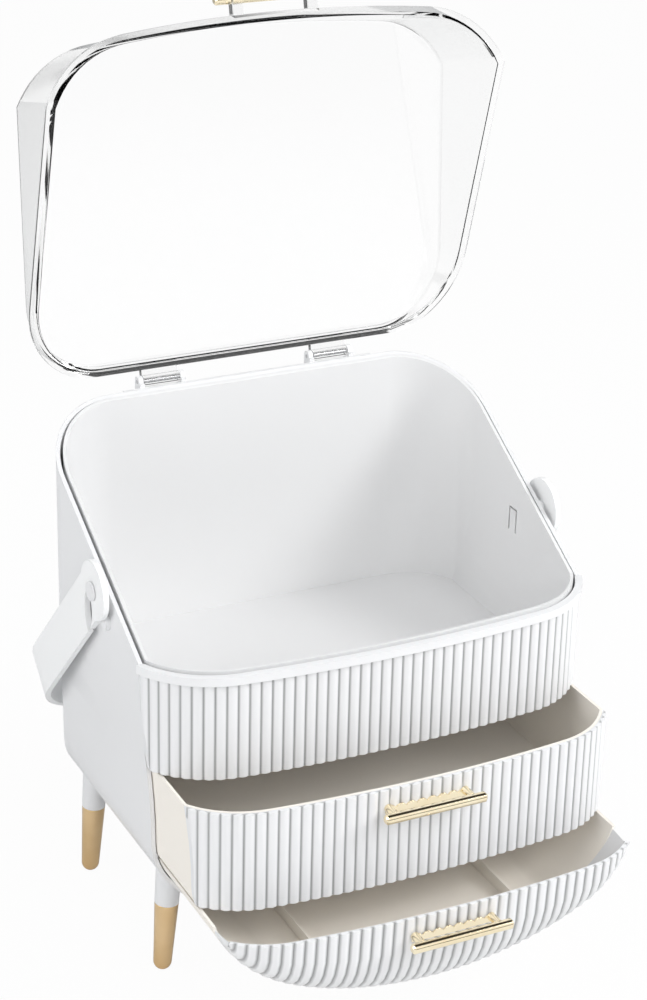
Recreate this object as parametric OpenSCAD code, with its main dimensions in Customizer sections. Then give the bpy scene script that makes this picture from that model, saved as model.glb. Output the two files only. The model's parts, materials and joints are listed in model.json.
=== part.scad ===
// Makeup organizer: a case with a sloping rim on four feet, an open bin on top, two
// fluted drawers below it, a clear wedge-shaped lid and a swinging strap handle.
// Millimetres. +Z is up, -Y is the drawer side, and the feet stand on z = 0.

/* [Case] */
// Width of the case over its side walls
case_w = 280; // [250:1:320]
// Depth of the side walls, from the front corners to the back wall
side_depth = 163; // [150:1:200]
// Thickness of the case wall
wall = 2.5; // [2:0.1:3.5]
// Outer radius of the two upright back corners
back_r = 48; // [25:1:60]
// Height of the rim above the table at the front
rim_front = 222; // [212:1:250]
// How far the side walls lean in from the rim down to the belly
side_draft = 7; // [0:0.5:8]
// How much higher the rim is at the back wall
rim_rise = 90.5; // [60:0.5:110]

/* [Bowed front] */
// Distance of the ends of the shallow middle arc from the side planes
crown_in = 46; // [40:1:49]
// Radius of the shallow middle arc
crown_r = 870; // [700:10:1400]
// Radius of the two tighter end arcs
end_r = 57; // [54:1:70]
// Spacing of the flutes along the front
flute_pitch = 6.5; // [5:0.1:9]
// Depth of the flutes
flute_depth = 1.3; // [0.8:0.1:1.6]
// Thickness of a fluted panel over its crests
panel_t = 2.8; // [2.5:0.1:4]

/* [Fascia] */
// Height of the fascia above the drawers
fascia_h = 64; // [55:0.1:75]
// Height of the smooth lip along its top edge
lip_h = 5; // [4:0.1:9]
// How far the lip stands out over the flutes
lip_out = 1.6; // [1:0.1:3]

/* [Belly] */
// Height of the lowest point of the belly above the table
belly_z = 32; // [25:1:45]
// Height of the curved belly, below the upright part of the sides
belly_h = 74; // [60:1:85]

/* [Bin] */
// Wall of the bin that drops into the case
bin_wall = 2; // [1.5:0.1:3]
// Gap between the bin and the case walls
bin_gap = 1.6; // [1.3:0.1:2.5]
// How far the lip of the bin stands above the case rim
bin_lip = 1.6; // [1:0.1:3]
// Width of the rails that carry the bin
rail_w = 6; // [4:0.5:12]
// Thickness of those rails
rail_t = 1.9; // [1.5:0.1:2]
// Width of the spring tongue cut in each side of the bin
tongue_w = 8; // [6:0.5:14]
// Length of that tongue
tongue_h = 15; // [10:0.5:20]
// Width of the slot round the tongue
tongue_slot = 1.2; // [0.8:0.1:2]

/* [Drawers] */
// Height of the front of the upper drawer
drawer_1_h = 60.6; // [50:0.1:70]
// Gap between one front and the next
front_gap = 1; // [0.6:0.1:2]
// Running gap between a drawer and the case at each side
side_gap = 0.5; // [0.4:0.1:1.2]
// Wall of the drawer trays
tray_wall = 1.8; // [1.4:0.1:3]
// Thickness of the tray floors
tray_floor = 2; // [1.5:0.1:3]
// Gap between the back of a tray and the back wall of the case
tray_back_gap = 3; // [2:0.5:10]
// Thickness of the shelf between the drawers
shelf_t = 2; // [1.5:0.1:3]
// Running gap above and below the shelf
shelf_gap = 0.3; // [0.2:0.05:0.6]
// How far the upper drawer stands open
drawer_1_out = 39; // [0:1:110]
// How far the lower drawer stands open
drawer_2_out = 75; // [0:1:110]
// Height of the flat floor in the lower drawer above the table
deck_z = 56; // [50:1:65]
// Gap between that floor and the inside of the curved front
deck_gap = 0.4; // [0.2:0.1:1]
// Gap between a fluted front and the tray that it is fixed to
seat_gap = 0.15; // [0.1:0.05:0.3]
// Thickness of the divider plates
divider_t = 1.6; // [1.2:0.1:3]
// Distance of each divider from the middle
divider_x = 64; // [40:1:80]
// Height of the dividers
divider_h = 8; // [4:1:28]

/* [Pulls] */
// Length of each drawer's pull bar
bar_l = 63; // [45:1:100]
// Diameter of the pull bars
bar_d = 6; // [4:0.2:9]
// How far the axis of a drawer pull stands in front of the flute crests
bar_reach = 10.5; // [9:0.5:14]
// Distance of a drawer pull below the top edge of its front
bar_drop = 11; // [8:0.5:16]
// Distance between the two posts of a pull
post_span = 48; // [30:1:60]
// Height of the scallops along the top of a pull's backing plate
scallop_h = 1.8; // [0.6:0.1:2]
// Thickness of that plate
plate_t = 1; // [0.8:0.1:1.6]
// Height of that plate above the middle of the bar, under the scallops
plate_up = 0; // [0:0.1:4]
// Diameter of the posts
post_d = 5; // [4.4:0.1:7]
// Diameter of the screw shank in a post
screw_d = 2.6; // [2:0.1:3]
// Diameter of the screw head
head_d = 5.4; // [4.5:0.1:8]
// Height of the screw head
head_h = 1.4; // [1:0.1:2.5]

/* [Lid] */
// Opening angle of the lid, as it stands
lid_open = 103.5; // [100:0.5:112]
// Height of the lid above the rim at the front corners
lid_front_h = 69; // [45:1:75]
// Height of the lid above the rim at the back
lid_back_h = 8; // [7:0.5:16]
// Wall of the lid
lid_wall = 2; // [1.5:0.1:3]
// How far the lid walls lean in from the bead to the top
lid_taper = 2; // [0:0.5:6]
// Width and height of the bead round the lid's edge
bead = 1.4; // [1:0.1:1.6]
// How far the bead stands out past the case, at the front and the sides
bead_out = 1.8; // [0:0.1:2]
// Gap between the closed lid and the rim
lid_gap = 0.4; // [0.3:0.1:1]
// Radius of the rounded top edge of the lid
lid_edge_r = 3; // [2.5:0.5:6]

// Length of the lid's pull bar
lid_bar_l = 72; // [60:1:100]
// Width of the bracket that holds it
bracket_w = 52; // [36:1:56]
// Width of each ear of that bracket
bracket_ear = 6; // [4:0.5:8]

/* [Hinge] */
// Distance of the hinge axis behind the back wall
hinge_back = 7; // [6:0.5:10]
// Height of the hinge axis above the back rim
hinge_up = 2; // [1:0.5:3]
// Outer diameter of the hinge knuckles
knuckle_d = 7; // [6:0.2:9]
// Length of a knuckle
knuckle_l = 23; // [14:1:30]
// Distance of the middle of each knuckle from the middle of the lid
knuckle_x = 56; // [40:1:75]
// Diameter of the hinge pins
hinge_pin_d = 2.5; // [2:0.1:3]
// Width of the ears that hold a pin
ear_w = 3; // [2:0.2:5]
// Width of the strip across the back rim
strip_w = 164; // [150:1:180]
// Height of that strip
strip_h = 12; // [8:0.5:18]
// Thickness of that strip
strip_t = 2.2; // [1.6:0.1:2.4]

/* [Handle] */
// Distance of the handle pivot behind the front corners
pivot_y = 52; // [44:1:70]
// Distance of the pivot below the rim beside it
pivot_drop = 6.5; // [6.5:0.1:14]
// Length of the handle arms, from the pivot to the grip
arm_l = 178; // [172:1:190]
// Gap between the hanging strap and the back wall
strap_gap = 1; // [0.5:0.1:6]
// Width of the strap
strap_w = 30; // [24:1:32]
// Thickness of the strap
strap_t = 3.4; // [2.5:0.1:4]
// Gap between the arms and the case
arm_gap = 3; // [1.5:0.1:5]
// Diameter of the round ends of the arms
eye_d = 35; // [33:1:38]
// Radius of the two bends of the strap
strap_bend_r = 50; // [30:1:55]
// Length of the upright slot through each arm
slot_l = 30; // [16:1:32]
// Width of that slot
slot_w = 11; // [6:0.5:12]
// Distance of the middle of the slot behind the pivot
slot_back = 7.5; // [7:0.1:9]
// Distance of the middle of the slot below the pivot
slot_down = 14.5; // [14:0.1:18]
// Diameter of the boss behind each arm, below the pivot
boss_d = 9; // [6:0.5:11]
// Distance of that boss below the pivot
boss_down = 17.5; // [14:0.5:19]
// Distance of that boss in front of the pivot
boss_front = 7; // [4:0.5:10]
// Diameter of the handle pins
pivot_d = 8; // [6:0.5:10]
// Diameter of the heads of the handle pins
pivot_head_d = 11; // [10.5:0.1:14]
// Thickness of those heads
pivot_head_t = 1.5; // [1.5:0.1:3]

/* [Feet] */
// Distance of each foot's tip from the side plane of the case
foot_in = 25; // [20:1:45]
// Distance of the front feet behind the front corners
foot_front_y = 28; // [20:1:50]
// Distance of the back feet in front of the back wall
foot_back_in = 17; // [12:1:50]
// Outward lean of the feet
foot_lean = 4; // [0:0.5:8]
// Length of the metal foot cap
cap_l = 46; // [25:1:48]
// Diameter of the cap at its top
cap_d = 14.4; // [12:0.2:18]
// Diameter of the cap at its tip
tip_d = 11; // [8:0.2:12]
// Diameter of the stud that joins cap, sleeve and case
stud_d = 4; // [3:0.5:6]

/* [Hidden] */
// Extra length that takes a cut clean through a wall
over = 1;
// Half of the width of the case
half_w = case_w / 2;
// Segments of one flute on the flat-sided panels and on the belly panel
flute_steps = 6;
belly_steps = 4;
// Rows of facets down the belly panel
belly_rows = 7;
// Exponent that makes the belly panel bulge more than an ellipse
bulge = 0.8;
// Degrees between the points of a round corner and of the belly
corner_step = 5;
belly_step = 4;
// Points along the smooth side of a bowed panel
smooth_n = 56;
// Steps down the leaning part of the sides
lean_n = 8;

// The bowed front: a middle arc that runs over into an end arc at each side
crown_w = case_w - 2 * crown_in;
crown_a = asin(crown_w / 2 / crown_r);
end_cx = (crown_r - end_r) * sin(crown_a);
corner_a = asin((half_w - end_cx) / end_r);
bow = crown_r * (1 - cos(crown_a)) + end_r * (cos(crown_a) - cos(corner_a));
crown_cy = crown_r - bow;
end_cy = crown_cy - (crown_r - end_r) * cos(crown_a);
crown_s = crown_r * crown_a * PI / 180;
corner_s = arc_s(corner_a);
flutes = round(2 * corner_s / flute_pitch);

// Heights of the fronts, from the rim downwards
fascia_z = rim_front - fascia_h;
drawer_1_top = fascia_z - front_gap;
drawer_1_bottom = drawer_1_top - drawer_1_h;
drawer_2_top = drawer_1_bottom - front_gap;
arch_z = belly_z + belly_h;
// Depth from the case surface to a drawer front and to a tray side
front_in = wall + side_gap;
tray_in = wall + side_gap + 0.1;
// Depth from the flute crests to the front wall of a tray
face_in = panel_t + seat_gap;
// The shelf, and the tray floor that runs on it
shelf_z = drawer_2_top + 0.2;
tray_1_z = shelf_z + shelf_t + shelf_gap;
tray_2_top = shelf_z - shelf_gap;
tray_back = side_depth - wall - tray_back_gap;
// Bin floor, on its rails
bin_z = fascia_z + 1.4;
bin_in = wall + bin_gap;

hinge_y = side_depth + hinge_back;
hinge_z = rim_front + rim_rise + hinge_up;
pin_fit = 0.05;
pivot_z = rim_z(pivot_y) - pivot_drop;
arm_x = half_w + arm_gap;
// Angle at which the handle hangs below the horizontal, its strap clear of the back wall
arm_in = arm_l - strap_t / 2;
strap_far = side_depth + strap_gap - pivot_y;
handle_rest = acos(strap_far / norm([arm_in, strap_w / 2])) - atan(strap_w / 2 / arm_in);
foot_x = half_w - foot_in;
foot_back_y = side_depth - foot_back_in;
foot_top = belly_at(foot_x + cap_d, 0);
// Furthest point of a screw head from the middle, and its gap to the wall it holds
head_x = post_span / 2 + head_d / 2;
head_gap = 0.1;
// Extra gap for a head on the belly panel, whose flat facets stand inside its curve
facet_gap = 0.5;
// Gap between an arm of the handle and what it swings past
arm_clear = 0.3;
bar_1_z = drawer_1_top - bar_drop;
bar_2_z = drawer_2_top - bar_drop;

// Where the furthest points lie in front of and behind the front corners
front_reach = drawer_2_out + bow + bar_reach + bar_d / 2;
lid_far = [hinge_y + bow - lid_taper - bead - lid_edge_r, hinge_z - lid_top(-bow)];
lid_back = hinge_y - lid_far[0] * cos(lid_open) - lid_far[1] * sin(lid_open) + 0.1;
strap_back = pivot_y + (arm_l + strap_t / 2) * cos(handle_rest) + strap_w / 2 * sin(handle_rest);
back_reach = max(lid_back, strap_back);
// Shift that puts the middle of the whole part on the origin
shift_y = (front_reach - back_reach) / 2;

// Length along the front, from its middle to where the end arc has turned by angle a
function arc_s(a) = crown_s + end_r * (a - crown_a) * PI / 180;

// Direction in which the front faces at length s, in degrees from -Y
function front_a(s) =
    abs(s) <= crown_s
        ? s / crown_r * 180 / PI
        : sign(s) * (crown_a + (abs(s) - crown_s) / end_r * 180 / PI);

// Point of the front at length s, moved out by d
function front_pt(s, d = 0) =
    let (a = front_a(s))
    abs(s) <= crown_s
        ? [(crown_r + d) * sin(a), crown_cy - (crown_r + d) * cos(a)]
        : [sign(s) * end_cx + (end_r + d) * sin(a), end_cy - (end_r + d) * cos(a)];

// Length along the front at which the line d inside it is x from the middle
function s_at(x, d = 0) =
    x <= (crown_r - d) * sin(crown_a)
        ? crown_r * asin(x / (crown_r - d)) * PI / 180
        : arc_s(asin((x - end_cx) / (end_r - d)));

// Y of the line d inside the front, at x from the middle
function front_y(x, d) = front_pt(s_at(abs(x), d), -d)[1];

// Inward dip of the fluted surface at step i, with n steps in each flute
function dip(i, n) = flute_depth * (1 - sin(180 * (i % n) / n));

// Outline of the case seen from above, moved in by d
function plan(d) =
    let (s = s_at(half_w - d, d), cx = half_w - back_r, cy = side_depth - back_r, r = back_r - d)
    concat(
        [for (i = [0:smooth_n]) front_pt(s * (2 * i / smooth_n - 1), -d)],
        [for (a = [0:corner_step:90]) [cx + r * cos(a), cy + r * sin(a)]],
        [for (a = [90:corner_step:180]) [-cx + r * cos(a), cy + r * sin(a)]]
    );

// Outline of a tray seen from above: sides x from the middle, d inside the front. Its back
// corners are round like the case's
function tray_plan(x, d, y_back) =
    let (s = s_at(x, d), r = back_r - half_w + x)
    concat(
        [for (i = [0:smooth_n]) front_pt(s * (2 * i / smooth_n - 1), -d)],
        [for (a = [0:corner_step:90]) [x - r + r * cos(a), y_back - r + r * sin(a)]],
        [for (a = [90:corner_step:180]) [r - x + r * cos(a), y_back - r + r * sin(a)]]
    );

// How far the sides have leaned in at height z: nothing at the rim, all where the belly starts
function lean(z) =
    let (share = min(1, max(0, (rim_front - z) / (rim_front - arch_z))))
    side_draft * (1 - cos(180 * share)) / 2;

// Outline of the belly and sides seen from the front, moved in by d, open far above the rim
function arch(d) =
    let (
        w = half_w - side_draft - d,
        zs = [for (i = [0:lean_n]) rim_front + (arch_z - rim_front) * i / lean_n]
    )
    concat(
        [[d - half_w, 2 * rim_front]],
        [for (z = zs) [lean(z) + d - half_w, z]],
        [for (a = [180 + belly_step:belly_step:360 - belly_step])
            [w * cos(a), arch_z + (belly_h - d) * sin(a)]],
        [for (i = [lean_n:-1:0]) [half_w - d - lean(zs[i]), zs[i]]],
        [[half_w - d, 2 * rim_front]]
    );

// Height of the belly at x from the middle, d inside its surface
function belly_at(x, d) =
    arch_z - (belly_h - d) * sqrt(max(0, 1 - pow(x / (half_w - side_draft - d), 2)));

// Half width inside the belly at height z, d inside its surface
function belly_x(z, d) =
    (half_w - side_draft - d) * sqrt(1 - pow((arch_z - z) / (belly_h - d), 2));

// Height of the rim at y: level round the bowed front, then rising to the back
function rim_z(y) = rim_front + max(0, y) * rim_rise / side_depth;

// Height of the top of the closed lid at y
function lid_top(y) =
    rim_front + lid_front_h + y * (rim_rise + lid_back_h - lid_front_h) / side_depth;

// Moves the part from the front corners to its own origin
module place() {
    translate([0, shift_y, 0]) children();
}

// Moves a drawer out by its present travel
module pulled_out(travel) {
    place() translate([0, -travel, 0]) children();
}

// Extrudes a side view (y, z) over the width w, centred
module across(w) {
    rotate([90, 0, 90]) linear_extrude(w, center = true) children();
}

// Extrudes a front view (x, z) from y0 to y1
module along(y0, y1) {
    translate([0, y1, 0]) rotate([90, 0, 0]) linear_extrude(y1 - y0) children();
}

// A cylinder of diameter d along X, from x0 to x1
module rod_x(d, x0, x1, sides = 48) {
    translate([x0, 0, 0]) rotate([0, 90, 0]) cylinder(h = x1 - x0, d = d, $fn = sides);
}

// A cylinder of diameter d along Y, from y0 to y1
module rod_y(d, y0, y1, sides = 32) {
    translate([0, y1, 0]) rotate([90, 0, 0]) cylinder(h = y1 - y0, d = d, $fn = sides);
}

// Everything below the sloping rim raised by e
module under_rim(e) {
    far = side_depth + back_r;
    across(2 * case_w)
        polygon([[-far, 0], [far, 0], [far, rim_z(far) + e], [0, rim_front + e], [-far, rim_front + e]]);
}

// Part of a bowed panel between two outlines, kept within x of the middle
module bowed(outline, x) {
    intersection() {
        polygon(outline);
        translate([-x, -2 * bow]) square([2 * x, 2 * bow]);
    }
}

// Outline of a panel with fluted front and smooth back
function fluted_outline() =
    let (n = flutes * flute_steps)
    concat(
        [for (i = [0:n]) front_pt(corner_s * (2 * i / n - 1), -dip(i, flute_steps))],
        [for (i = [smooth_n:-1:0]) front_pt(corner_s * (2 * i / smooth_n - 1), -panel_t)]
    );

// Outline of a smooth panel from d0 to d1 inside the front crests
function smooth_outline(d0, d1) =
    concat(
        [for (i = [0:smooth_n]) front_pt(corner_s * (2 * i / smooth_n - 1), -d0)],
        [for (i = [smooth_n:-1:0]) front_pt(corner_s * (2 * i / smooth_n - 1), -d1)]
    );

// Case: sides, back and belly in one shell, open to the front and the top
module case() {
    top = rim_z(side_depth) + over;
    color("white") place() {
        difference() {
            intersection() {
                linear_extrude(top) polygon(plan(0));
                along(0, side_depth) polygon(arch(0));
                under_rim(0);
            }
            intersection() {
                translate([0, 0, -over]) linear_extrude(top + 2 * over) polygon(plan(wall));
                along(-2 * bow, side_depth) polygon(arch(wall));
            }
            // Open front, between the side walls
            along(-2 * bow, back_r / 2) polygon(arch(wall));
            // Bores for the handle pins
            translate([0, pivot_y, pivot_z]) rod_x(pivot_d, -half_w - over, half_w + over);
            // Holes for the studs of the feet
            each_foot() stud_hole();
        }
        for (side = [-1, 1]) {
            // Rail that carries the bin, above the upper drawer
            rail_x = half_w - lean(bin_z) - wall - rail_w / 2;
            translate([side * (rail_x + over / 2), tray_back / 2, bin_z - rail_t / 2])
                cube([rail_w + over, tray_back - 2 * over, rail_t], center = true);
            // Boss behind the arm of the handle
            boss_l = arm_gap - arm_clear + over;
            translate([side * (half_w - over + boss_l / 2), pivot_y - boss_front, pivot_z - boss_down])
                rod_x(boss_d, -boss_l / 2, boss_l / 2);
        }
    }
}

// Inverted-U slot that frees a spring tongue in the side of the bin
module tongue_cut() {
    h = tongue_h;
    w = tongue_w;
    s = tongue_slot;
    for (y = [-w / 2, w / 2])
        translate([0, y, -h / 2]) cube([4 * bin_in, s, h], center = true);
    cube([4 * bin_in, w + s, s], center = true);
}

// Bin: a tub with a sloping rim that drops into the case
module bin() {
    top = rim_z(side_depth) + bin_lip + over;
    tongue_y = pivot_y + 17;
    color("white") place() difference() {
        intersection() {
            translate([0, 0, bin_z]) linear_extrude(top - bin_z) polygon(plan(bin_in));
            along(-2 * bow, side_depth) polygon(arch(bin_in));
            under_rim(bin_lip);
        }
        intersection() {
            translate([0, 0, bin_z + bin_wall]) linear_extrude(top) polygon(plan(bin_in + bin_wall));
            along(-2 * bow, side_depth) polygon(arch(bin_in + bin_wall));
        }
        for (side = [-1, 1])
            translate([side * (half_w - bin_in), tongue_y, pivot_z - 7]) tongue_cut();
    }
}

// Fascia: fluted front of the bin, with a smooth lip along its top
module fascia() {
    color("white") place() {
        intersection() {
            translate([0, 0, fascia_z])
                linear_extrude(fascia_h - lip_h) bowed(fluted_outline(), half_w);
            along(-2 * bow, side_depth) polygon(arch(0));
        }
        translate([0, 0, rim_front - lip_h])
            linear_extrude(lip_h) bowed(smooth_outline(-lip_out, panel_t), half_w + lip_out);
    }
}

// Shelf between the drawers, held between the side walls
module shelf() {
    color("white") place() intersection() {
        translate([0, 0, shelf_z]) linear_extrude(shelf_t) polygon(plan(wall));
        along(over, side_depth) polygon(arch(wall));
    }
}

// The two screw holes of a pull, along Y at height z
module screw_holes(z, d) {
    for (side = [-1, 1])
        translate([side * post_span / 2, 0, z]) rod_y(d, -2 * bow, 0);
}

// Tray of the upper drawer: box with bowed front wall, cut to the curve of the belly
module drawer_1_tray() {
    x = half_w - tray_in;
    x_in = x - tray_wall;
    color("whitesmoke") pulled_out(drawer_1_out) difference() {
        intersection() {
            translate([0, 0, tray_1_z]) linear_extrude(drawer_1_top - tray_1_z)
                polygon(tray_plan(x, face_in, tray_back));
            along(-2 * bow, side_depth) polygon(arch(tray_in));
        }
        intersection() {
            translate([0, 0, tray_1_z + tray_floor]) linear_extrude(rim_front)
                polygon(tray_plan(x_in, face_in + tray_wall, tray_back - tray_wall));
            along(-2 * bow, side_depth) polygon(arch(tray_in + tray_wall));
        }
        screw_holes(bar_1_z, screw_d + 2 * pin_fit);
    }
}

// Fluted front of the upper drawer
module drawer_1_front() {
    color("white") pulled_out(drawer_1_out) difference() {
        intersection() {
            translate([0, 0, drawer_1_bottom])
                linear_extrude(drawer_1_h) bowed(fluted_outline(), half_w - front_in);
            along(-2 * bow, side_depth) polygon(arch(front_in));
        }
        screw_holes(bar_1_z, screw_d + 2 * pin_fit);
    }
}

// Tray of the lower drawer: curved shell like the belly, with a flat deck in it
module drawer_2_tray() {
    x = half_w - tray_in;
    inner = tray_in + tray_wall;
    color("whitesmoke") pulled_out(drawer_2_out) {
        difference() {
            intersection() {
                along(0, side_depth) polygon(arch(tray_in));
                linear_extrude(tray_2_top) polygon(tray_plan(x, face_in, tray_back));
            }
            // Space above the deck
            intersection() {
                along(-over, side_depth) polygon(arch(inner));
                translate([0, 0, deck_z]) linear_extrude(belly_h)
                    polygon(tray_plan(x - tray_wall, face_in, tray_back - tray_wall));
            }
            // Hollow below the deck, open to the back
            along(-over, side_depth) intersection() {
                polygon(arch(inner));
                translate([-foot_x, 0]) square([2 * foot_x, deck_z - tray_floor]);
            }
        }
        // The deck runs forward to the bowed front
        translate([0, 0, deck_z - tray_floor]) linear_extrude(tray_floor) polygon(deck_front());
    }
}

// Angle by which the belly panel has turned under where it passes height z at x
function turn_at(x, z) =
    let (share = (drawer_2_top - z) / (drawer_2_top - belly_at(x, front_in)))
    asin(min(1, pow(max(0, share), 1 / bulge)));

// Y of the inner face of the belly panel at x and height z
function belly_in_y(x, z) =
    let (a = turn_at(x, z - panel_t * sin(turn_at(x, z))))
    front_y(x, 0) * pow(cos(a), bulge) + panel_t * cos(a);

// Outline of the deck in front of the tray: it ends on the inner face of the belly panel
function deck_front() =
    let (z = deck_z - tray_floor, x1 = belly_x(z, tray_in + tray_wall), n = smooth_n)
    concat(
        [for (i = [0:n])
            let (x = x1 * (2 * i / n - 1))
            [x, min(0, belly_in_y(x, z) + deck_gap)]],
        [[x1, 0.5], [-x1, 0.5]]
    );

// Point of the belly panel: column at length s, row turned by angle a, moved in by d
function belly_pt(s, a, d) =
    let (
        p = front_pt(s),
        n = front_a(s),
        drop = drawer_2_top - belly_at(p[0], front_in),
        y = p[1] * pow(cos(a), bulge),
        z = drawer_2_top - drop * pow(sin(a), bulge)
    )
    [p[0] - d * sin(n) * cos(a), y + d * cos(n) * cos(a), z + d * sin(a)];

// Fluted front of the lower drawer: each flute runs down and back under the belly
module drawer_2_front() {
    n = flutes * belly_steps;
    s1 = s_at(belly_x(drawer_2_top - panel_t - over, front_in));
    cols = floor(s1 / corner_s * n / 2);
    row_a = [for (j = [0:belly_rows]) 90 * pow(j / belly_rows, 0.85)];
    ring = 2 * (belly_rows + 1);
    // One closed ring of points for each column: down the outside, back up the inside
    points = [
        for (i = [-cols:cols])
            let (s = corner_s * 2 * i / n, d = dip(abs(i) + (n / 2) % belly_steps, belly_steps))
            each concat(
                [for (a = row_a) belly_pt(s, a, d)],
                [for (j = [belly_rows:-1:0]) belly_pt(s, row_a[j], panel_t)]
            )
    ];
    last = 2 * cols * ring;
    color("white") pulled_out(drawer_2_out) difference() {
        polyhedron(
            points,
            concat(
                [for (i = [0:2 * cols - 1]) for (j = [0:ring - 1])
                    let (a = i * ring + j, b = i * ring + (j + 1) % ring)
                    each [[a, b, b + ring], [a, b + ring, a + ring]]],
                [for (j = [0:belly_rows - 1]) each
                    let (k = ring - 1 - j)
                    [[j, k, k - 1], [j, k - 1, j + 1]]],
                [for (j = [0:belly_rows - 1]) each
                    let (a = last + j, k = last + ring - 1 - j)
                    [[a, k - 1, k], [a, a + 1, k - 1]]]
            ),
            convexity = 6
        );
        screw_holes(bar_2_z, screw_d + 2 * pin_fit);
    }
}

// Low divider at x on the deck, from y0 to the back wall of the tray
module divider(x, y0) {
    translate([x - divider_t / 2, y0, deck_z])
        cube([divider_t, tray_back - tray_wall - y0, divider_h]);
}

module drawer_2_divider(side) {
    y0 = belly_in_y(divider_x + divider_t / 2, deck_z) + deck_gap;
    color("whitesmoke") pulled_out(drawer_2_out) divider(side * divider_x, y0);
}

// Front view of a pull's backing plate: its top edge is a row of small scallops
function plate_outline(z) =
    let (n = floor((post_span + post_d) / flute_pitch), x0 = -n * flute_pitch / 2, steps = 6)
    concat(
        [[x0, z - bar_d / 2], [-x0, z - bar_d / 2]],
        [for (i = [n * steps:-1:0])
            [x0 + i * flute_pitch / steps, z + plate_up + scallop_h * sin(180 * (i % steps) / steps)]]
    );

// Backing plate of a pull with its two posts, at height z
module pull_base(z) {
    reach = bar_reach + bow;
    face = front_y(post_span / 2 + post_d / 2, 0);
    difference() {
        union() {
            for (side = [-1, 1])
                translate([side * post_span / 2, 0, z]) rod_y(post_d, -reach, face);
            intersection() {
                translate([0, 0, z - bar_d]) linear_extrude(3 * bar_d)
                    bowed(smooth_outline(-plate_t, 0), half_w);
                along(-2 * bow, 0) polygon(plate_outline(z));
            }
        }
        translate([0, -reach, z]) rod_x(bar_d, -bar_l, bar_l);
        for (side = [-1, 1])
            translate([side * post_span / 2, 0, z]) rod_y(screw_d, over - reach + bar_d / 2, 0);
    }
}

// Pull bar of length l along X, with chamfered ends
module pull_bar(l) {
    r = bar_d / 2;
    edge = 1;
    rotate([0, 90, 0]) rotate_extrude($fn = 48)
        polygon([
            [0, -l / 2], [r - edge, -l / 2], [r, edge - l / 2],
            [r, l / 2 - edge], [r - edge, l / 2], [0, l / 2]
        ]);
}

// The two screws of a pull, put in from inside the drawer, with their heads at y = back
module pull_screws(z, back) {
    for (side = [-1, 1])
        translate([side * post_span / 2, 0, z]) {
            rod_y(screw_d, over + bar_d / 2 - bow - bar_reach, back);
            rod_y(head_d, back, back + head_h);
        }
}

module drawer_1_pull_base() {
    color("goldenrod") pulled_out(drawer_1_out) pull_base(bar_1_z);
}

module drawer_1_pull_bar() {
    color("gold") pulled_out(drawer_1_out) translate([0, -bow - bar_reach, bar_1_z]) pull_bar(bar_l);
}

module drawer_1_screws() {
    back = front_y(head_x, face_in + tray_wall) + head_gap;
    color("silver") pulled_out(drawer_1_out) pull_screws(bar_1_z, back);
}

module drawer_2_pull_base() {
    color("goldenrod") pulled_out(drawer_2_out) pull_base(bar_2_z);
}

module drawer_2_pull_bar() {
    color("gold") pulled_out(drawer_2_out) translate([0, -bow - bar_reach, bar_2_z]) pull_bar(bar_l);
}

module drawer_2_screws() {
    back = belly_in_y(head_x, bar_2_z - head_d / 2) + head_gap + facet_gap;
    color("silver") pulled_out(drawer_2_out) pull_screws(bar_2_z, back);
}

// Swings the closed lid open about its hinge
module lid_swing() {
    place() translate([0, hinge_y, hinge_z]) rotate([-lid_open, 0, 0])
        translate([0, -hinge_y, -hinge_z]) children();
}

// A ring of the lid: the case outline moved in by d, on the rim (top = 0) or the top (top = 1).
// It never stands out past the back wall, where the hinge is
function lid_ring(d, e, top) =
    [for (p = plan(d))
        let (y = min(p[1], side_depth))
        [p[0], y, e + (top == 1 ? lid_top(y) : rim_z(y) + lid_gap)]];

// Lid shell: bead, leaning walls and flat top with rounded edges, hollow inside
module lid_shell() {
    lean = bead + lid_taper;
    r = lid_edge_r;
    t = lid_wall;
    rings = [
        lid_ring(-bead_out, 0, 0),
        lid_ring(-bead_out, 2 * bead, 0),
        lid_ring(bead, 3 * bead, 0),
        lid_ring(lean, -r, 1),
        lid_ring(lean + 0.3 * r, -0.3 * r, 1),
        lid_ring(lean + r, 0, 1),
        lid_ring(lean + r, -t, 1),
        lid_ring(lean + 0.3 * r + 0.7 * t, -0.3 * r - 0.7 * t, 1),
        lid_ring(lean + t, -r - t, 1),
        lid_ring(bead + t, 3 * bead, 0),
        lid_ring(bead + t, 0, 0)
    ];
    cap = 5;
    n = len(rings[0]);
    m = len(rings);
    polyhedron(
        [for (ring = rings) each ring],
        concat(
            [for (k = [0:m - 1]) if (k != cap) for (i = [0:n - 1])
                let (a = k * n + i, b = k * n + (i + 1) % n)
                let (c = ((k + 1) % m) * n + i, d = ((k + 1) % m) * n + (i + 1) % n)
                each [[a, c, d], [a, d, b]]],
            [[for (i = [n - 1:-1:0]) cap * n + i], [for (i = [0:n - 1]) (cap + 1) * n + i]]
        ),
        convexity = 6
    );
}

// Lid with the two knuckles of its hinge
module lid() {
    color("lightcyan", 0.4) lid_swing() {
        lid_shell();
        for (side = [-1, 1])
            translate([side * knuckle_x, 0, 0]) difference() {
                union() {
                    translate([0, hinge_y, hinge_z])
                        rod_x(knuckle_d, -knuckle_l / 2, knuckle_l / 2);
                    translate([-knuckle_l / 2, side_depth - 0.4, hinge_z])
                        cube([knuckle_l, hinge_back, knuckle_d / 2]);
                }
                translate([0, hinge_y, hinge_z])
                    rod_x(hinge_pin_d + 2 * pin_fit, -knuckle_l, knuckle_l);
            }
    }
}

// Height of the lid pull above the front rim when the lid is closed
lid_bar_z = rim_front + lid_gap + 3 * bead + bar_d / 2 + 0.1;

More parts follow.
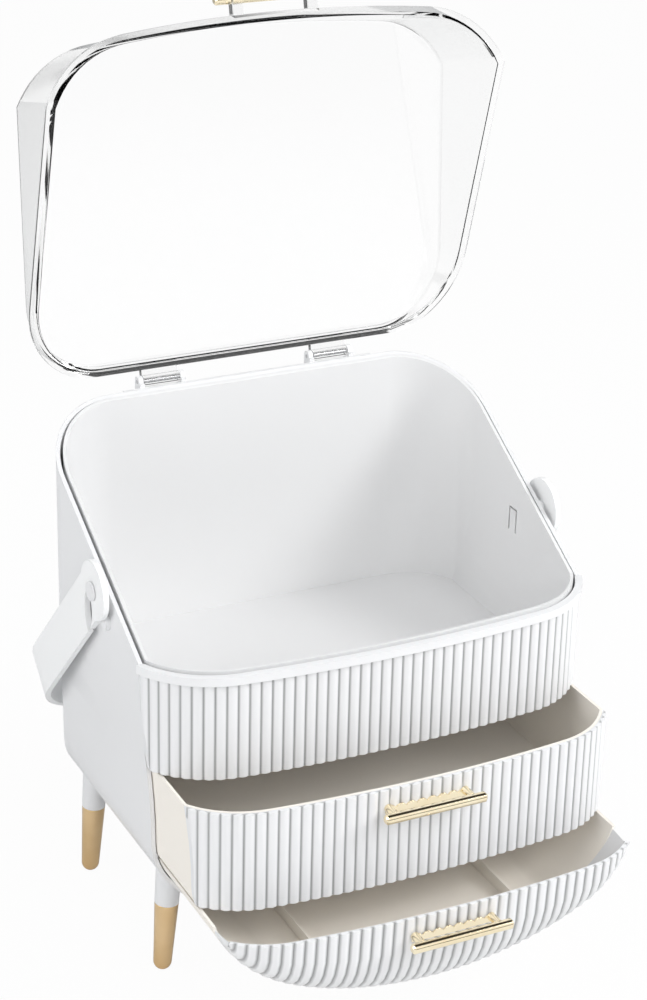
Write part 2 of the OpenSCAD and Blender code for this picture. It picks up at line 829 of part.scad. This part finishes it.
// Clear bracket on the front of the lid that holds its pull bar
module lid_pull_bracket() {
    ear = bracket_ear;
    color("lightcyan", 0.4) lid_swing() difference() {
        union() {
            translate([0, 0, lid_bar_z - bar_d / 2]) linear_extrude(bar_d)
                bowed(smooth_outline(-1.5, 0), bracket_w / 2);
            for (side = [-1, 1])
                translate([side * (bracket_w - ear) / 2, -bow - bar_reach, lid_bar_z]) {
                    rod_x(bar_d + 3, -ear / 2, ear / 2);
                    translate([-ear / 2, 0, -bar_d / 2]) cube([ear, bar_reach, bar_d]);
                }
        }
        translate([0, -bow - bar_reach, lid_bar_z]) rod_x(bar_d, -lid_bar_l, lid_bar_l);
    }
}

module lid_pull_bar() {
    color("gold") lid_swing() translate([0, -bow - bar_reach, lid_bar_z]) pull_bar(lid_bar_l);
}

// Strip across the back rim, with the ears that hold the hinge pins
module hinge_strip() {
    z = rim_z(side_depth) - strip_h;
    color("white") place() difference() {
        union() {
            translate([-strip_w / 2, side_depth, z]) cube([strip_w, strip_t, strip_h]);
            for (side = [-1, 1]) for (end = [-1, 1])
                translate([side * knuckle_x + end * (knuckle_l + ear_w + 0.8) / 2, 0, 0]) {
                    translate([0, hinge_y, hinge_z]) rod_x(knuckle_d, -ear_w / 2, ear_w / 2);
                    translate([-ear_w / 2, side_depth + strip_t, hinge_z - knuckle_d])
                        cube([ear_w, hinge_back - strip_t + knuckle_d / 2, knuckle_d]);
                }
        }
        translate([0, hinge_y, hinge_z]) rod_x(hinge_pin_d, -half_w, half_w);
    }
}

module hinge_pin(side) {
    l = knuckle_l + 2 * ear_w + 0.8;
    color("silver") place() translate([side * knuckle_x, hinge_y, hinge_z])
        rod_x(hinge_pin_d, -l / 2, l / 2, 24);
}

// Rounded U of the strap seen along its width: half width x, length l, bend radius r
function strap_u(x, l, r) =
    concat(
        [[x, 0]],
        [for (a = [0:6:90]) [x - r + r * cos(a), l - r + r * sin(a)]],
        [for (a = [90:6:180]) [r - x + r * cos(a), l - r + r * sin(a)]],
        [[-x, 0]]
    );

// Radius of an arc with a chord of length l and a rise of h
function arc_r(l, h) = (l * l / 4 + h * h) / (2 * h);

// Upright slot through both arms, behind and below the pivot: the space between two arcs
module arm_slots() {
    front = 0.6 * slot_w;
    back = slot_w - front;
    translate([0, slot_back, -slot_down]) across(3 * case_w) intersection() {
        translate([arc_r(slot_l, front) - front, 0]) circle(arc_r(slot_l, front), $fn = 128);
        translate([back - arc_r(slot_l, back), 0]) circle(arc_r(slot_l, back), $fn = 128);
    }
}

// Handle: a strap bent to a U, with a round eye at the end of each arm
module handle() {
    r = strap_bend_r;
    t = strap_t;
    outer = strap_u(arm_x + t, arm_l + t / 2, r + t);
    inner = strap_u(arm_x, arm_l - t / 2, r);
    color("whitesmoke") place() translate([0, pivot_y, pivot_z])
        difference() {
            rotate([-handle_rest, 0, 0]) {
                translate([0, 0, -strap_w / 2]) linear_extrude(strap_w)
                    polygon(concat(outer, [for (i = [len(inner) - 1:-1:0]) inner[i]]));
                for (side = [-1, 1])
                    translate([side * (arm_x + t / 2), 0, 0]) rod_x(eye_d, -t / 2, t / 2, 64);
            }
            rod_x(pivot_d + 2 * pin_fit, -case_w, case_w);
            arm_slots();
        }
}

// Pin of the handle: a shaft through arm and case wall, with a flat head outside
module handle_pin(side) {
    x0 = half_w - wall;
    x1 = arm_x + strap_t + arm_clear;
    color("white") place() translate([0, pivot_y, pivot_z]) mirror([side < 0 ? 1 : 0, 0, 0]) {
        rod_x(pivot_d, x0, x1);
        rod_x(pivot_head_d, x1, x1 + pivot_head_t);
    }
}

// A foot's own frame: origin at the middle of its round tip, Z along the leaning foot
module foot_frame(side, y) {
    translate([side * foot_x, y, tip_d / 2 - 0.3]) rotate([0, -side * foot_lean, 0]) children();
}

module each_foot() {
    for (side = [-1, 1]) for (y = [foot_front_y, foot_back_y])
        foot_frame(side, y) children();
}

// Hole for a stud, from inside the cap up through the belly
module stud_hole() {
    translate([0, 0, cap_l / 2]) cylinder(h = foot_top, d = stud_d, $fn = 32);
}

// White sleeve of a foot, cut to the curve of the belly
module leg(side, y) {
    z0 = cap_l - tip_d / 2;
    color("white") place() difference() {
        foot_frame(side, y) translate([0, 0, z0])
            cylinder(h = foot_top - z0, d1 = cap_d, d2 = cap_d + 2, $fn = 64);
        along(-over, side_depth + over) polygon(arch(0));
        foot_frame(side, y) stud_hole();
    }
}

// Metal cap of a foot: a slim cone with a round tip, flat where it stands
module foot_cap(side, y) {
    r = tip_d / 2;
    color("gold") place() difference() {
        foot_frame(side, y) rotate_extrude($fn = 64)
            polygon(concat(
                [for (a = [-90:10:0]) [r * cos(a), r * sin(a)]],
                [[cap_d / 2, cap_l - r], [0, cap_l - r]]
            ));
        translate([side * foot_x, y, -cap_d]) cube(2 * cap_d, center = true);
        foot_frame(side, y) stud_hole();
    }
}

// Studs that join caps, sleeves and case
module leg_studs() {
    color("silver") place() intersection() {
        each_foot() translate([0, 0, cap_l / 2]) cylinder(h = foot_top, d = stud_d, $fn = 32);
        difference() {
            translate([-half_w, 0, 0]) cube([case_w, side_depth, arch_z]);
            along(-over, side_depth + over) polygon(arch(wall));
        }
    }
}

case();
bin();
fascia();
shelf();
drawer_1_tray();
drawer_1_front();
drawer_1_pull_base();
drawer_1_pull_bar();
drawer_1_screws();
drawer_2_tray();
drawer_2_front();
drawer_2_divider(-1);  // drawer_2_divider_left
drawer_2_divider(1);  // drawer_2_divider_right
drawer_2_pull_base();
drawer_2_pull_bar();
drawer_2_screws();
lid();
lid_pull_bracket();
lid_pull_bar();
hinge_strip();
hinge_pin(-1);  // hinge_pin_left
hinge_pin(1);  // hinge_pin_right
handle();
handle_pin(-1);  // handle_pin_left
handle_pin(1);  // handle_pin_right
leg(-1, foot_front_y);  // leg_front_left
leg(1, foot_front_y);  // leg_front_right
leg(-1, foot_back_y);  // leg_back_left
leg(1, foot_back_y);  // leg_back_right
foot_cap(-1, foot_front_y);  // foot_cap_front_left
foot_cap(1, foot_front_y);  // foot_cap_front_right
foot_cap(-1, foot_back_y);  // foot_cap_back_left
foot_cap(1, foot_back_y);  // foot_cap_back_right
leg_studs();
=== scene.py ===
"""Makeup organizer: fluted white drawers, an open bin, a clear lid and a strap handle.

The solids come from the frame, apart from a new shell that stands for the case. This
script gives them rounded shading, procedural materials, a plain studio and the camera.
"""
import json
import math

import bpy
from mathutils import Euler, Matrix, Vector

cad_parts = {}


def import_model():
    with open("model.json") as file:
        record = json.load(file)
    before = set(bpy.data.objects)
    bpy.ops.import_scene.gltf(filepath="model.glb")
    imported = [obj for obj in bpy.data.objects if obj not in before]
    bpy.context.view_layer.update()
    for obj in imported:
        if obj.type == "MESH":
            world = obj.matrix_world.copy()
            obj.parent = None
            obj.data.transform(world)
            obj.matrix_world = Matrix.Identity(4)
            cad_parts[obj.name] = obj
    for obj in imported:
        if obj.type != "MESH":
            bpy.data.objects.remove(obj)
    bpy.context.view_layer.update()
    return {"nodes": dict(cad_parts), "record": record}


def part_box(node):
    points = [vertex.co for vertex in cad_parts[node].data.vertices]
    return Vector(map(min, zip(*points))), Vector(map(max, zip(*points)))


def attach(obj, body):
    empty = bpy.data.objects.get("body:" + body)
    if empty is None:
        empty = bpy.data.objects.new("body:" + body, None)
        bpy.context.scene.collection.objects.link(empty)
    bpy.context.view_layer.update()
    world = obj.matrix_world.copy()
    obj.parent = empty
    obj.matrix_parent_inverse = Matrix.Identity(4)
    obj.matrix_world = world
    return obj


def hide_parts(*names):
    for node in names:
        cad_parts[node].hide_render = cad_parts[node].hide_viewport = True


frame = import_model()

MM = 0.001
# Edges that turn by less than this are shaded as one rounded surface
SMOOTH_ANGLE = math.radians(38)
# Points that are closer than this are one point of a solid
JOIN_DISTANCE = 0.002 * MM
# Attribute that is 1 along a valley between two flutes and 0 elsewhere; the materials paint shade
# along it
GROOVE_SHADE = "groove_shade"
# Least share of its length that an edge rises by, to be one of these valleys
VALLEY_RISE = 0.25
# The rails that carry the bin: their thickness, how far in front of the case's back their tails
# begin, the sides of a tail, and how far each corner of a tail goes back to the case's face
RAIL_THICKNESS = 1.9 * MM
BEHIND_RAILS = 8 * MM
RAIL_INNER_X, RAIL_OUTER_X = 120 * MM, 131 * MM
OUTER_PULL_X, OUTER_PULL_Y, INNER_PULL_Y = 3.24 * MM, 13.97 * MM, 9.34 * MM


# ---------------------------------------------------------------- node helpers

def link(tree, source, target):
    tree.links.new(source, target)


def noise(tree, coords, scale, detail=2.0):
    """Factor of a noise texture with `scale` features in a metre."""
    node = tree.nodes.new("ShaderNodeTexNoise")
    node.inputs["Scale"].default_value = scale
    node.inputs["Detail"].default_value = detail
    link(tree, coords, node.inputs["Vector"])
    return node.outputs["Factor"] if "Factor" in node.outputs else node.outputs["Fac"]


def remap(tree, value, low, high, start=0.3, end=0.7):
    """Takes a factor from the range start..end to low..high."""
    node = tree.nodes.new("ShaderNodeMapRange")
    link(tree, value, node.inputs["Value"])
    for name, number in (("From Min", start), ("From Max", end), ("To Min", low), ("To Max", high)):
        node.inputs[name].default_value = number
    return node.outputs["Result"]


def blend_colors(tree, factor, first, second):
    node = tree.nodes.new("ShaderNodeMix")
    node.data_type = "RGBA"
    link(tree, factor, node.inputs["Factor"])
    node.inputs["A"].default_value = (*first, 1)
    node.inputs["B"].default_value = (*second, 1)
    return node.outputs["Result"]


def bump(tree, height, depth, strength, normal=None):
    """Surface normal with a relief `depth` metres deep."""
    node = tree.nodes.new("ShaderNodeBump")
    node.inputs["Strength"].default_value = strength
    node.inputs["Distance"].default_value = depth
    link(tree, height, node.inputs["Height"])
    if normal is not None:
        link(tree, normal, node.inputs["Normal"])
    return node.outputs["Normal"]


def paint_groove_shade(tree, color, least):
    """Painted shade: darkens a colour down to the share `least` along the valleys of the flutes."""
    depth = tree.nodes.new("ShaderNodeAttribute")
    depth.attribute_name = GROOVE_SHADE
    share = remap(tree, depth.outputs["Fac"], 1.0, least, 0.0, 1.0)
    shade = tree.nodes.new("ShaderNodeMix")
    shade.data_type = "RGBA"
    shade.blend_type = "MULTIPLY"
    shade.inputs["Factor"].default_value = 1.0
    link(tree, color, shade.inputs["A"])
    link(tree, share, shade.inputs["B"])
    return shade.outputs["Result"]


def soft_edges(tree, radius):
    """Surface normal that rounds each edge by `radius` metres."""
    node = tree.nodes.new("ShaderNodeBevel")
    node.samples = 4
    node.inputs["Radius"].default_value = radius
    return node.outputs["Normal"]


def new_material(name):
    """An empty material: its node tree, its shader and its object coordinates in metres."""
    material = bpy.data.materials.new(name)
    material.use_nodes = True
    tree = material.node_tree
    shader = tree.nodes["Principled BSDF"]
    coords = tree.nodes.new("ShaderNodeTexCoord").outputs["Object"]
    return material, tree, shader, coords


# ------------------------------------------------------------------- materials

# How much darker moulded plastic gets in its mottling, as a share of its colour
MOTTLE = 0.006


def plastic(name, color, roughness, grain, relief, edge, groove_shade=1.0):
    """Moulded plastic: faint mottling, uneven gloss, a fine grain, softened edges and painted shade in
    flute valleys.

    `edge` is the radius of the softened edges, and 0 leaves them as they are. The last argument is the
    share of the colour that is left along the valleys of the flutes, as painted shade there.
    """
    material, tree, shader, coords = new_material(name)
    shade = remap(tree, noise(tree, coords, 9, 3), 0, 1)
    darker = tuple(channel * (1 - MOTTLE) for channel in color)
    tone = blend_colors(tree, shade, darker, color)
    # Painted shade along the valleys between the flutes
    if groove_shade < 1:
        tone = paint_groove_shade(tree, tone, groove_shade)
    link(tree, tone, shader.inputs["Base Color"])
    gloss = remap(tree, noise(tree, coords, 34, 4), roughness * 0.93, roughness * 1.07)
    link(tree, gloss, shader.inputs["Roughness"])
    rounded = soft_edges(tree, edge) if edge else None
    surface = bump(tree, noise(tree, coords, grain, 3), relief, 0.5, rounded)
    link(tree, surface, shader.inputs["Normal"])
    shader.inputs["IOR"].default_value = 1.48
    return material


def metal(name, color, tarnish, roughness, grain, relief, edge):
    """Plated metal: its colour wanders a little to a browner tone, over fine polishing marks."""
    material, tree, shader, coords = new_material(name)
    shade = remap(tree, noise(tree, coords, 45, 4), 0, 1)
    link(tree, blend_colors(tree, shade, tarnish, color), shader.inputs["Base Color"])
    gloss = remap(tree, noise(tree, coords, 160, 4), roughness * 0.75, roughness * 1.25)
    link(tree, gloss, shader.inputs["Roughness"])
    rounded = soft_edges(tree, edge)
    surface = bump(tree, noise(tree, coords, grain, 2), relief, 0.4, rounded)
    link(tree, surface, shader.inputs["Normal"])
    shader.inputs["Metallic"].default_value = 1.0
    return material


def acrylic(name, tint, edge_tint_and_shade, shadow):
    """Clear acrylic: polished, with faint haze and flow marks, and a partly painted grey where seen on
    edge.
    """
    material, tree, shader, coords = new_material(name)
    haze = remap(tree, noise(tree, coords, 22, 4), 0.01, 0.04)
    link(tree, haze, shader.inputs["Roughness"])
    marks = bump(tree, noise(tree, coords, 14, 2), 0.1 * MM, 0.15)
    link(tree, marks, shader.inputs["Normal"])
    # Greyer where seen on edge: partly the longer path through the sheet, partly painted shade
    slant = tree.nodes.new("ShaderNodeLayerWeight")
    slant.inputs["Blend"].default_value = 0.5
    depth = remap(tree, slant.outputs["Facing"], 0, 1, 0.35, 0.95)
    link(tree, blend_colors(tree, depth, tint, edge_tint_and_shade), shader.inputs["Base Color"])
    shader.inputs["Transmission Weight"].default_value = 1.0
    shader.inputs["IOR"].default_value = 1.49
    through = tree.nodes.new("ShaderNodeBsdfTransparent")
    through.inputs["Color"].default_value = (shadow, shadow, shadow, 1)
    path = tree.nodes.new("ShaderNodeLightPath")
    either = tree.nodes.new("ShaderNodeMixShader")
    link(tree, path.outputs["Is Shadow Ray"], either.inputs[0])
    link(tree, shader.outputs["BSDF"], either.inputs[1])
    link(tree, through.outputs["BSDF"], either.inputs[2])
    link(tree, either.outputs["Shader"], tree.nodes["Material Output"].inputs["Surface"])
    return material


SHELL = plastic("shell_plastic", (0.83, 0.832, 0.84), 0.30, 900, 0.02 * MM, 0.4 * MM)
# The fluted fronts get painted shade, down to 40 % of their colour, in the valleys between flutes
FLUTED = plastic("fluted_plastic", (0.825, 0.827, 0.835), 0.30, 700, 0.01 * MM, 0, groove_shade=0.40)
BIN = plastic("bin_plastic", (0.78, 0.78, 0.782), 0.42, 1400, 0.02 * MM, 0.4 * MM)
# Painted light and shade: the trays are whiter than the shell to lift their shaded insides, and warmed
# to stand in for the warm shade there
TRAY = plastic("tray_plastic", (0.935, 0.89, 0.82), 0.5, 1600, 0.02 * MM, 0.3 * MM)
# The strap is whiter than the shell: painted light that makes up for the little light it gets
STRAP = plastic("strap_plastic", (0.95, 0.955, 0.955), 0.38, 1100, 0.02 * MM, 0.6 * MM)
# The lid's grey at a slant is partly painted shade
CLEAR = acrylic("clear_acrylic", (1.0, 1.0, 1.0), (0.62, 0.63, 0.63), 0.94)
GOLD = metal("polished_gold", (0.97, 0.87, 0.65), (0.91, 0.77, 0.52), 0.07, 2400, 0.01 * MM, 0.3 * MM)
CAP_GOLD = metal("satin_gold", (0.97, 0.71, 0.41), (0.87, 0.61, 0.32), 0.19, 3000, 0.01 * MM, 0.5 * MM)
STEEL = metal("plain_steel", (0.62, 0.62, 0.63), (0.50, 0.50, 0.51), 0.28, 2200, 0.01 * MM, 0.2 * MM)

BY_SLOT = {"white_shell": SHELL, "white_inner": TRAY, "clear": CLEAR, "gold": GOLD, "steel": STEEL}
BY_NODE = {"bin": BIN, "shelf": BIN, "handle": STRAP}
BY_NODE.update(dict.fromkeys(("fascia", "drawer_1_front", "drawer_2_front"), FLUTED))
BY_NODE.update({name: CAP_GOLD for name in frame["nodes"] if name.startswith("foot_cap")})


# --------------------------------------------------------------- CAD node looks

def shading_group():
    """Node group that joins the facets of a solid and shades all but its sharp edges smooth."""
    group = bpy.data.node_groups.new("rounded_shading", "GeometryNodeTree")
    for way in ("INPUT", "OUTPUT"):
        group.interface.new_socket("Geometry", in_out=way, socket_type="NodeSocketGeometry")
    nodes = group.nodes
    start = nodes.new("NodeGroupInput")
    plain = nodes.new("GeometryNodeRemoveAttribute")
    plain.inputs["Name"].default_value = "custom_normal"
    join = nodes.new("GeometryNodeMergeByDistance")
    join.inputs["Distance"].default_value = JOIN_DISTANCE
    smooth = nodes.new("GeometryNodeSetShadeSmooth")
    angle = nodes.new("GeometryNodeInputMeshEdgeAngle")
    sharp = nodes.new("FunctionNodeCompare")
    sharp.operation = "GREATER_THAN"
    sharp.inputs[1].default_value = SMOOTH_ANGLE
    # A valley is an edge that runs down the front and where the surface turns sharply inwards;
    # the materials paint shade along it
    inward = nodes.new("FunctionNodeCompare")
    inward.operation = "LESS_THAN"
    inward.inputs[1].default_value = -SMOOTH_ANGLE
    ends = nodes.new("GeometryNodeInputMeshEdgeVertices")
    along = nodes.new("ShaderNodeVectorMath")
    along.operation = "SUBTRACT"
    unit = nodes.new("ShaderNodeVectorMath")
    unit.operation = "NORMALIZE"
    parts = nodes.new("ShaderNodeSeparateXYZ")
    rise = nodes.new("ShaderNodeMath")
    rise.operation = "ABSOLUTE"
    steep = nodes.new("ShaderNodeMath")
    steep.operation = "GREATER_THAN"
    steep.inputs[1].default_value = VALLEY_RISE
    valley = nodes.new("ShaderNodeMath")
    valley.operation = "MULTIPLY"
    on_edge = nodes.new("GeometryNodeFieldOnDomain")
    on_edge.domain = "EDGE"
    on_edge.data_type = "BOOLEAN"
    groove_shade = nodes.new("GeometryNodeStoreNamedAttribute")
    groove_shade.data_type = "FLOAT"
    groove_shade.domain = "POINT"
    groove_shade.inputs["Name"].default_value = GROOVE_SHADE
    crease = nodes.new("GeometryNodeSetShadeSmooth")
    crease.domain = "EDGE"
    crease.inputs["Shade Smooth"].default_value = False
    end = nodes.new("NodeGroupOutput")
    link(group, start.outputs[0], plain.inputs["Geometry"])
    link(group, plain.outputs["Geometry"], join.inputs["Geometry"])
    link(group, join.outputs["Geometry"], smooth.inputs["Geometry"])
    link(group, smooth.outputs["Geometry"], crease.inputs["Geometry"])
    link(group, angle.outputs["Unsigned Angle"], sharp.inputs[0])
    link(group, sharp.outputs["Result"], crease.inputs["Selection"])
    link(group, angle.outputs["Signed Angle"], inward.inputs[0])
    link(group, ends.outputs["Position 1"], along.inputs[0])
    link(group, ends.outputs["Position 2"], along.inputs[1])
    link(group, along.outputs["Vector"], unit.inputs[0])
    link(group, unit.outputs["Vector"], parts.inputs["Vector"])
    link(group, parts.outputs["Z"], rise.inputs[0])
    link(group, rise.outputs["Value"], steep.inputs[0])
    link(group, steep.outputs["Value"], valley.inputs[0])
    link(group, inward.outputs["Result"], valley.inputs[1])
    link(group, valley.outputs["Value"], on_edge.inputs[0])
    link(group, on_edge.outputs[0], groove_shade.inputs["Value"])
    link(group, crease.outputs["Geometry"], groove_shade.inputs["Geometry"])
    link(group, groove_shade.outputs["Geometry"], end.inputs[0])
    return group


def case_shell():
    """A new piece that stands for the case, whose two rails come out through its back corners.

    It is the same shell, with the tails of the rails under the bin ending at its outer face.
    """
    shell = bpy.data.objects.new("case_shell", frame["nodes"]["case"].data.copy())
    bpy.context.collection.objects.link(shell)
    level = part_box("bin")[0][2] - RAIL_THICKNESS / 2
    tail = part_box("case")[1][1] - BEHIND_RAILS
    for point in shell.data.vertices:
        x, y, z = point.co
        if y < tail or abs(x) < RAIL_INNER_X or abs(z - level) > RAIL_THICKNESS:
            continue
        outer = abs(x) > RAIL_OUTER_X
        point.co.y -= OUTER_PULL_Y if outer else INNER_PULL_Y
        point.co.x -= math.copysign(OUTER_PULL_X, x) if outer else 0
    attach(shell, "body")
    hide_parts("case")
    return shell


def dress(piece, material, group):
    """Gives a piece its material and rounded shading."""
    if not piece.data.materials:
        piece.data.materials.append(material)
    for place in piece.material_slots:
        place.material = material
    rounding = piece.modifiers.new("rounded_shading", "NODES")
    rounding.node_group = group
    weighted = piece.modifiers.new("flat_faces_stay_flat", "WEIGHTED_NORMAL")
    weighted.keep_sharp = True


def dress_nodes():
    """Dresses each CAD node, and the new piece that stands for the case."""
    slots = {row["node"]: row["material_slot"] for row in frame["record"]["subparts"]}
    group = shading_group()
    dress(case_shell(), SHELL, group)
    for name, node in frame["nodes"].items():
        dress(node, BY_NODE.get(name, BY_SLOT[slots[name]]), group)


dress_nodes()


# ----------------------------------------------------------------------- studio

# Half the floor's width, its colour, and how white it is to the camera
FLOOR_REACH = 6.0
FLOOR_GREY = 0.82
FLOOR_WHITE = 0.96
# Plain light from all round
AMBIENT_COLOR = (0.96, 0.98, 1.0, 1)
AMBIENT_STRENGTH = 0.46
# Brightness of the room as mirrored in the object, by height from level (0) to overhead (1)
DIM = 0.05
MIRRORED = ((0.04, 1), (0.08, DIM), (0.20, DIM), (0.26, 1), (0.78, 1), (0.82, DIM))
# Height at which the soft boxes aim
AIM_HEIGHT = 0.25
# The camera's lens, its place from the front of the case at the fascia's top, and its turns
LENS_MM, SENSOR_MM = 89.95, 36.0
CAMERA_OFFSET = (-0.58974, -1.11904, 0.64193)
AZIMUTH, ELEVATION, ROLL = (math.radians(angle) for angle in (-26.58, 24.23, 1.42))


def floor():
    """A wide pale floor that keeps a soft shadow and is near white to the camera."""
    mesh = bpy.data.meshes.new("floor")
    signs = ((-1, -1), (1, -1), (1, 1), (-1, 1))
    corners = [(x * FLOOR_REACH, y * FLOOR_REACH, 0) for x, y in signs]
    mesh.from_pydata(corners, [], [(0, 1, 2, 3)])
    ground = bpy.data.objects.new("floor", mesh)
    bpy.context.collection.objects.link(ground)
    material = bpy.data.materials.new("floor")
    material.use_nodes = True
    tree = material.node_tree
    tree.nodes.clear()
    paint = tree.nodes.new("ShaderNodeBsdfDiffuse")
    paint.inputs["Color"].default_value = (FLOOR_GREY, FLOOR_GREY, FLOOR_GREY, 1)
    white = tree.nodes.new("ShaderNodeEmission")
    either = tree.nodes.new("ShaderNodeMixShader")
    out = tree.nodes.new("ShaderNodeOutputMaterial")
    share = tree.nodes.new("ShaderNodeMath")
    share.operation = "MULTIPLY"
    share.inputs[1].default_value = FLOOR_WHITE
    link(tree, seen_directly(tree, "Is Transmission Ray"), share.inputs[0])
    link(tree, share.outputs["Value"], either.inputs[0])
    link(tree, paint.outputs["BSDF"], either.inputs[1])
    link(tree, white.outputs["Emission"], either.inputs[2])
    link(tree, either.outputs["Shader"], out.inputs["Surface"])
    mesh.materials.append(material)


def seen_directly(tree, *others):
    """1 for what the camera and the rays named in `others` meet, 0 for lighting."""
    path = tree.nodes.new("ShaderNodeLightPath")
    total = path.outputs["Is Camera Ray"]
    for name in others:
        either = tree.nodes.new("ShaderNodeMath")
        either.operation = "MAXIMUM"
        link(tree, total, either.inputs[0])
        link(tree, path.outputs[name], either.inputs[1])
        total = either.outputs["Value"]
    return total


def world():
    """White behind everything, and a plain grey light from all round."""
    sky = bpy.data.worlds.new("studio")
    bpy.context.scene.world = sky
    sky.use_nodes = True
    tree = sky.node_tree
    tree.nodes.clear()
    ambient = tree.nodes.new("ShaderNodeBackground")
    ambient.inputs["Color"].default_value = AMBIENT_COLOR
    ambient.inputs["Strength"].default_value = AMBIENT_STRENGTH
    backdrop = tree.nodes.new("ShaderNodeBackground")
    # A dim band low in the room and a dim ceiling give metal and clear edges something dark
    coords = tree.nodes.new("ShaderNodeTexCoord").outputs["Generated"]
    split = tree.nodes.new("ShaderNodeSeparateXYZ")
    link(tree, coords, split.inputs["Vector"])
    ramp = tree.nodes.new("ShaderNodeValToRGB")
    stops = ramp.color_ramp
    stops.elements[0].position = 0.0
    stops.elements[0].color = (1, 1, 1, 1)
    stops.elements[1].position = 1.0
    stops.elements[1].color = (DIM, DIM, DIM, 1)
    for place, level in MIRRORED:
        stop = stops.elements.new(place)
        stop.color = (level, level, level, 1)
    link(tree, split.outputs["Z"], ramp.inputs["Fac"])
    to_camera = tree.nodes.new("ShaderNodeLightPath").outputs["Is Camera Ray"]
    behind = tree.nodes.new("ShaderNodeMix")
    behind.data_type = "RGBA"
    link(tree, to_camera, behind.inputs["Factor"])
    link(tree, ramp.outputs["Color"], behind.inputs["A"])
    behind.inputs["B"].default_value = (1, 1, 1, 1)
    link(tree, behind.outputs["Result"], backdrop.inputs["Color"])
    either = tree.nodes.new("ShaderNodeMixShader")
    out = tree.nodes.new("ShaderNodeOutputWorld")
    seen = seen_directly(tree, "Is Glossy Ray", "Is Transmission Ray")
    link(tree, seen, either.inputs[0])
    link(tree, ambient.outputs["Background"], either.inputs[1])
    link(tree, backdrop.outputs["Background"], either.inputs[2])
    link(tree, either.outputs["Shader"], out.inputs["Surface"])


def soft_light(name, place, size, power, mirrored=True):
    """A square soft box at `place` that faces the middle of the object."""
    lamp = bpy.data.lights.new(name, "AREA")
    lamp.shape = "SQUARE"
    lamp.size = size
    lamp.energy = power
    holder = bpy.data.objects.new(name, lamp)
    bpy.context.collection.objects.link(holder)
    holder.location = place
    holder.visible_glossy = mirrored
    aim = Vector((0, 0, AIM_HEIGHT)) - holder.location
    holder.rotation_euler = aim.to_track_quat("-Z", "Y").to_euler()


def camera():
    """Camera at the photograph's viewing angle, placed from the case's front and the fascia's top."""
    lens = bpy.data.cameras.new("camera")
    lens.lens = LENS_MM
    lens.sensor_width = SENSOR_MM
    view = bpy.data.objects.new("camera", lens)
    bpy.context.collection.objects.link(view)
    case_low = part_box("case")[0]
    front_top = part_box("fascia")[1]
    corner = Vector((0, case_low[1], front_top[2]))
    view.location = corner + Vector(CAMERA_OFFSET)
    turn = Euler((0, 0, AZIMUTH)).to_matrix()
    tilt = Euler((math.pi / 2 - ELEVATION, 0, 0)).to_matrix()
    lean = Euler((0, 0, ROLL)).to_matrix()
    view.rotation_euler = (turn @ tilt @ lean).to_euler()
    bpy.context.scene.camera = view


floor()
world()
soft_light("key", (1.48, -1.05, 1.45), 0.9, 25)
soft_light("front", (0.0, -2.4, 1.8), 1.8, 27)
soft_light("fill", (-2.1, -0.2, 0.9), 1.4, 15.5)
soft_light("top", (-0.1, 0.1, 2.3), 1.6, 4, mirrored=False)
camera()
bpy.context.scene.view_settings.view_transform = "Standard"
